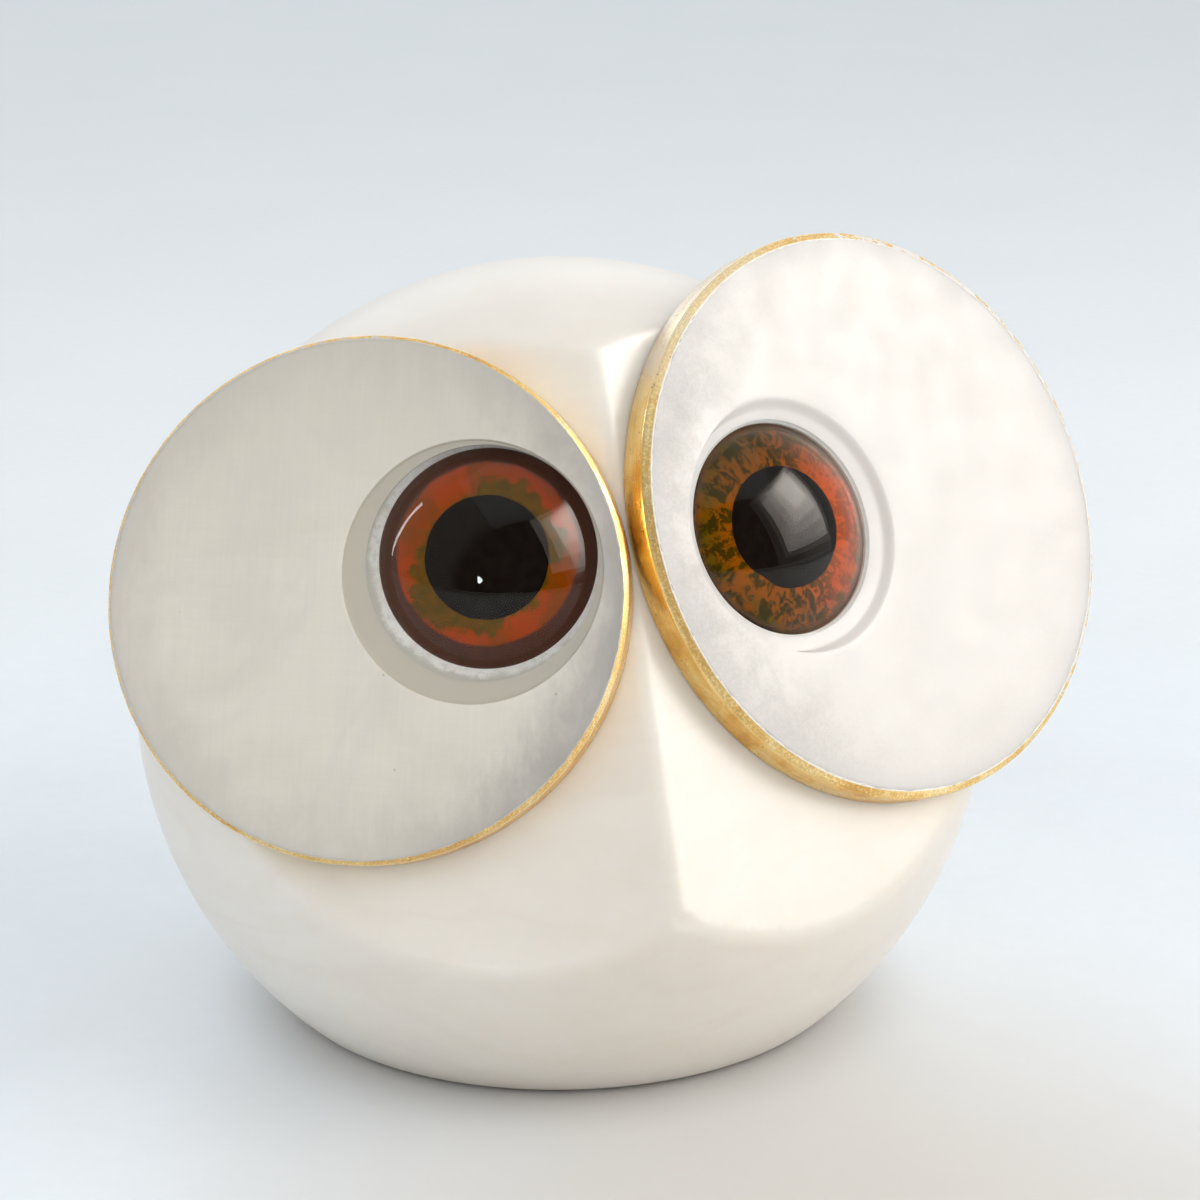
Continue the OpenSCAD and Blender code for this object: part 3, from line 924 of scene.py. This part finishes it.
def make_gilding(disc, name, material, seed, wander_by):
    """The leaf around the disc's side and bevel. Its inner border wanders, as hand-laid leaf does."""
    count = 720
    angles = turns_of(count)
    wander = wander_by * ripple(angles, seed, 160, 0.35)
    dents = 0.035 * MM * ripple(angles, seed + 1, 60, 0.3)
    r, inner = disc.r, disc.face_r
    corner = 0.18 * MM
    lift = 0.02 * MM
    bevel = disc.thick - disc.shoulder_z
    profile = [(r - corner, lift), (r - 0.3 * corner, 0.3 * corner), (r, corner)]
    for share in (0.15, 0.3, 0.45, 0.6, 0.75, 0.88):
        profile.append((r - 0.012 * MM * math.sin(9 * share), disc.shoulder_z * share))
    profile.append((r - 0.01 * MM, disc.shoulder_z - corner))
    profile.append((r - 0.05 * MM, disc.shoulder_z - 0.2 * corner))
    rings = [circle(reach - np.abs(dents), z, count) for reach, z in profile]
    for share in (0.15, 0.4, 0.65, 0.85):
        reach = r + (inner - r) * share - np.abs(dents) * (1 - share)
        rings.append(circle(reach, disc.shoulder_z + bevel * share + lift, count))
    edge_r = inner + wander
    edge_z = np.where(wander > 0, disc.thick - wander * bevel / (r - inner), disc.thick)
    rings.append(circle(edge_r, edge_z + lift, count))
    rings.append(circle(edge_r - lift, edge_z - lift, count))
    rings.append(circle(disc.stone_r - lift, disc.shoulder_z - 0.1 * MM, count))
    rings.append(circle(disc.stone_r - lift, lift, count))
    mesh = ring_mesh(name, rings, looped=True)
    place(mesh, material, disc.matrix, [disc.side + "_gold_leaf"], sharp=50)


# ---------------- the eyes

EYE_COUNT = 160
PAINT_LAP = 0.04 * MM
DIP_AT = math.radians(228)
DIP_WIDTH = 0.22


def make_glass(disc, name, material):
    """The glass cabochon: a flat back with a polished corner, a short straight edge and a domed crown."""
    rise = disc.eye_top - disc.eye_edge_z
    crown_r = (disc.eye_r ** 2 + rise ** 2) / (2 * rise)
    edge = disc.eye_edge_z - disc.eye_z
    corner = 0.15 * MM
    rings = [circle(share * disc.eye_r, 0, EYE_COUNT) for share in (0.2, 0.45, 0.7, 0.9)]
    for turn in np.linspace(0, math.pi / 2, 5):
        reach = disc.eye_r - corner + corner * math.sin(turn)
        rings.append(circle(reach, corner - corner * math.cos(turn), EYE_COUNT))
    rings.append(circle(disc.eye_r, edge * 0.6, EYE_COUNT))
    widest = math.asin(disc.eye_r / crown_r)
    for tilt in np.linspace(widest, 0, 44)[:-1]:
        height = disc.eye_top - disc.eye_z - crown_r * (1 - math.cos(tilt))
        rings.append(circle(crown_r * math.sin(tilt), height, EYE_COUNT))
    mesh = ring_mesh(name, rings)
    return place(mesh, material, disc.eye_matrix(), [disc.side + "_eye_glass"], sharp=0)


def make_iris(disc, name, material):
    """The painted ring on the glass's back. It laps a little into the glass, so that no air shows between."""
    bottom = -0.15 * MM
    outer = disc.eye_r - 0.12 * MM
    inner = 0.8 * disc.pupil_r
    rings = [circle(reach, PAINT_LAP, EYE_COUNT) for reach in np.linspace(inner, outer, 9)]
    rings += [circle(outer, bottom, EYE_COUNT), circle(inner, bottom, EYE_COUNT)]
    mesh = ring_mesh(name, rings, looped=True)
    place(mesh, material, disc.eye_matrix(), [disc.side + "_iris"])


def make_pupil(disc, name, material, seed, uneven):
    """The painted pupil, with a hand-painted outline. uneven is the depth of a dip at its lower left."""
    angles = turns_of(EYE_COUNT)
    dip = np.exp(-((angles - DIP_AT) / DIP_WIDTH) ** 2)
    outline = disc.pupil_r * (1 + 0.012 * ripple(angles, seed, 24, 0.6) - uneven * dip)
    rings = [circle(outline * share, 2 * PAINT_LAP, EYE_COUNT) for share in (0.3, 0.6, 0.85, 1.0)]
    rings += [circle(outline * share, 0.5 * PAINT_LAP, EYE_COUNT) for share in (1.0, 0.6, 0.3)]
    mesh = ring_mesh(name, rings)
    place(mesh, material, disc.eye_matrix(), [disc.side + "_pupil"])


def make_bedding(disc, dish, name, material, seed):
    """White putty that fills the pocket around the eye, smoothed by hand from the dish down to the glass."""
    angles = turns_of(EYE_COUNT)
    floor = disc.pocket_z - disc.eye_z
    under = disc.seal_z - disc.eye_z
    edge = disc.eye_edge_z - disc.eye_z + 0.1 * MM
    rough = 0.10 * MM * ripple(angles, seed, 30, 0.4)
    shift = dish.cup_at - disc.eye_at
    inner_r = disc.eye_r + 0.01 * MM
    outer = circle(dish.cup_r, 0, EYE_COUNT, shift)
    inner = circle(inner_r, 0, EYE_COUNT)
    gap = np.hypot(*(outer - inner)[:, :2].T)
    flush = dish.height(outer[:, :2] + disc.eye_at) - disc.eye_z - edge
    rise = np.clip(flush, 0.1 * MM, 1.2 * MM)
    rings = [circle(share * dish.cup_r, floor, EYE_COUNT, shift) for share in (0.3, 0.7, 1.0)]
    for share in (0.0, 0.15, 0.35, 0.55, 0.75, 0.9, 1.0):
        ring = outer + (inner - outer) * share
        fall = dish.putty_lift + (1 - dish.putty_lift) * (1 - share) ** 1.2
        ring[:, 2] = edge + rise * fall + rough * math.sin(math.pi * share) * np.minimum(gap / MM, 1)
        rings.append(ring)
    rings += [circle(inner_r, under, EYE_COUNT)]
    rings += [circle(share * disc.eye_r, under, EYE_COUNT) for share in (0.7, 0.3)]
    mesh = ring_mesh(name, rings)
    place(mesh, material, disc.eye_matrix(), [disc.side + "_eye_bedding"])


# ---------------- stage and light

FLOOR_HALF = 4.0
# The centre of the floor's painted warm shade. The floor is painted lighter far from it.
FLOOR_SHADE_AT = (0.02, -0.13, 0.0)


def make_floor():
    """A pale matt tabletop with a faint cool mottle, painted lighter far from the owl, with a painted warm
    shade before it and a painted contact shadow close round it.
    """
    bm = bmesh.new()
    bmesh.ops.create_grid(bm, x_segments=8, y_segments=8, size=FLOOR_HALF)
    mesh = bpy.data.meshes.new("floor")
    bm.to_mesh(mesh)
    bm.free()
    m = Tree("floor_matt")
    p = m.object_coords()
    mottle = m.noise(p, 9, 6, 0.65, 0.6)
    fine = m.noise(p, 240, 4, 0.7)
    colour = m.mix(m.fade(mottle, 0.35, 0.68), (0.865, 0.92, 0.97), (0.845, 0.895, 0.94))
    away = m.vector("DISTANCE", p, FLOOR_SHADE_AT)
    # Painted light: the floor is coloured lighter far from the owl, for the brighter light at the back.
    colour = m.mix(m.fade(away, 0.15, 0.60), colour, (0.93, 0.975, 1.0))
    # Painted shade: a warm, darker patch before the owl, for its shadow and the warm light through the stone.
    colour = m.mix(m.fade(away, 0.02, 0.15, 0.9, 0.0), colour, (0.71, 0.665, 0.61))
    # Painted shadow: darker still close round the owl's base, for its contact shadow.
    from_owl = m.vector("DISTANCE", p, (0.0, 0.0, 0.0))
    colour = m.mix(m.fade(from_owl, 0.046, 0.068, 0.60, 0.0), colour, (0.50, 0.48, 0.46))
    m.set("Base Color", m.mix(m.fade(fine, 0.3, 0.7, 0.0, 0.10), colour, (0.74, 0.775, 0.81)))
    m.set("Roughness", m.fade(mottle, 0.3, 0.7, 0.38, 0.55))
    m.bump(fine, 0.05 * MM, 0.4)
    mesh.materials.append(m.material)
    floor = bpy.data.objects.new("floor", mesh)
    scene.collection.objects.link(floor)


def area_lamp(name, azimuth, elevation, away, width, height, power, colour):
    """A soft rectangular lamp that faces the ball, from a direction in degrees."""
    way = direction(math.radians(azimuth), math.radians(elevation))
    lamp = bpy.data.lights.new(name, "AREA")
    lamp.shape = "RECTANGLE"
    lamp.size, lamp.size_y = width, height
    lamp.energy = power
    lamp.color = colour
    thing = bpy.data.objects.new(name, lamp)
    turn = way.to_track_quat("Z", "Y").to_matrix().to_4x4()
    thing.matrix_world = Matrix.Translation(Vector(ball.centre) + way * away) @ turn
    scene.collection.objects.link(thing)
    return thing


def gloss_lamp(name, azimuth, elevation, width, height, power, colour=(1.0, 0.95, 0.90)):
    """A lamp that shows only as a reflection."""
    lamp = area_lamp(name, azimuth, elevation, GLINT_AWAY, width, height, power, colour)
    lamp.visible_diffuse = False
    return lamp


# Places from front to back, and the surroundings' brightness there.
SURROUND = ((0.18, 0.06), (0.24, 0.42), (0.55, 0.55), (0.75, 0.85))
SURROUND_STRENGTH = 0.95


def surround():
    """A pale room: bright behind the owl, mid grey at the sides, and dark where the viewer stands."""
    world = bpy.data.worlds.new("pale_room")
    world.use_nodes = True
    tree = world.node_tree
    way = tree.nodes.new("ShaderNodeSeparateXYZ")
    tree.links.new(tree.nodes.new("ShaderNodeTexCoord").outputs["Generated"], way.inputs[0])
    ramp = tree.nodes.new("ShaderNodeValToRGB")
    shift = tree.nodes.new("ShaderNodeMath")
    shift.operation = "MULTIPLY_ADD"
    shift.inputs[1].default_value = 0.5
    shift.inputs[2].default_value = 0.5
    tree.links.new(way.outputs["Y"], shift.inputs[0])
    tree.links.new(shift.outputs[0], ramp.inputs[0])
    set_stops(ramp, [(spot, (level * 0.98, level, level * 1.02)) for spot, level in SURROUND])
    background = tree.nodes["Background"]
    tree.links.new(ramp.outputs[0], background.inputs["Color"])
    background.inputs["Strength"].default_value = SURROUND_STRENGTH
    scene.world = world


SKY_COLOUR = (0.86, 0.94, 1.0)
# The name, azimuth, elevation and power of each fill lamp, which no gloss shows.
FILLS = (("fill_left", -62, 34, 4.7), ("fill_front", -4, 30, 6.4))
GLINTS = 6
GLINT_AWAY = 1.25
# The azimuth, elevation, width, height and power of each layer of the left eye's broad reflection.
GLOWS = (
    (36, 32, 0.72, 0.95, 3.6),
    (40, 35, 0.50, 0.66, 2.7),
    (43, 37, 0.30, 0.42, 1.7),
)


def make_lights(left_glass):
    """A warm window on the right, cool light from above and behind, soft fills, and glints for the glass."""
    area_lamp("window_right", 60, 28, 1.3, 1.0, 0.95, 7.3, (1.0, 0.960, 0.91))
    area_lamp("sky_top", 10, 78, 1.4, 1.4, 1.4, 2.3, SKY_COLOUR)
    area_lamp("window_back", 172, 26, 3.2, 3.2, 1.4, 9.0, SKY_COLOUR)
    for name, azimuth, elevation, power in FILLS:
        fill = area_lamp(name, azimuth, elevation, 1.6, 1.6, 1.2, power, (1.0, 0.98, 0.955))
        fill.visible_glossy = False
    for k in range(GLINTS):
        share = k / (GLINTS - 1)
        width, height = 1.30 - 0.95 * share, 1.30 - 0.90 * share
        azimuth, elevation = 57 + 11 * share, 26 + 14 * share
        power = width * height * (1.2 + 13.5 * share ** 2)
        gloss_lamp("glint_%d" % k, azimuth, elevation, width, height, power)
    gloss_lamp("glint_strip", -112, 22, 0.05, 0.75, 1.5)
    gloss_lamp("spark", -33, 9, 0.06, 0.09, 0.9, (0.85, 0.95, 1.0))
    left_only = bpy.data.collections.new("left_eye_only")
    left_only.objects.link(left_glass)
    for settings in GLOWS:
        gloss_lamp("glow", *settings).light_linking.receiver_collection = left_only
    surround()
    scene.view_settings.view_transform = "Standard"


# ---------------- the whole figurine

def finish_hidden_nodes():
    """Materials for the CAD nodes that show only in gaps or when the figurine comes apart."""
    film, steel, varnish = adhesive(), pin_steel(), seal_varnish()
    for side in ("left", "right"):
        for part, material in (("_disc_bond", film), ("_disc_pins", steel), ("_eye_seal", varnish)):
            for material_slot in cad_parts[side + part].material_slots:
                material_slot.material = material


make_body()
make_pad()
left_dish = Dish(left, step=(0.35 * MM, 0.35 * MM), depth=(0.45 * MM, 0.45 * MM), slope=0.22,
                 near_cut=(0, 0), cup_r=19.2 * MM, cup_shift=(-0.60 * MM, -1.00 * MM), putty_lift=0.0)
right_dish = Dish(right, step=(0.25 * MM, 1.9 * MM), depth=(1.5 * MM, 0.90 * MM), slope=0.17,
                  near_cut=(0.55 * MM, 0.5 * MM), cup_r=18.4 * MM, cup_shift=(0.0, 0.0), putty_lift=0.45)
make_stone(left, left_dish, "left_stone", alabaster_left())
make_stone(right, right_dish, "right_stone", alabaster_right())
left_leaf = gold_leaf(left, (0.60, 0.57, 0.52), worn_at=150, worn_by=0.18, pale_highlight_at=0, pale_highlight_by=0.0,
                      shoulder_highlight=0.85, edge_highlight=0.0)
make_gilding(left, "left_gilding", left_leaf, 21, 0.34 * MM)
right_leaf = gold_leaf(right, (0.80, 0.78, 0.75), worn_at=15, worn_by=0.27, pale_highlight_at=123, pale_highlight_by=0.85,
                       shoulder_highlight=0.20, edge_highlight=0.85)
make_gilding(right, "right_gilding", right_leaf, 31, 0.22 * MM)
glass, black = eye_glass(), pupil_paint()
left_glass = make_glass(left, "left_glass_eye", glass)
make_glass(right, "right_glass_eye", glass)
make_iris(left, "left_painted_iris", iris_left())
make_iris(right, "right_painted_iris", iris_right())
make_pupil(left, "left_painted_pupil", black, 41, 0.0)
make_pupil(right, "right_painted_pupil", black, 43, 0.05)
# The grey putty's outer colour is the left dish's painted shade.
grey_putty = putty((0.76, 0.75, 0.71), (0.66, 0.645, 0.60), (0.50, 0.475, 0.41), 0.5)
make_bedding(left, left_dish, "left_putty", grey_putty, 51)
# Painted light: the same putty as on the left, coloured whiter and warmer to make up for the shade on its
# slope.
lit_white_putty = putty((0.98, 0.935, 0.87), (0.95, 0.90, 0.835), (0.95, 0.90, 0.835), 0.08)
make_bedding(right, right_dish, "right_putty", lit_white_putty, 53)
finish_hidden_nodes()
make_floor()
make_lights(left_glass)
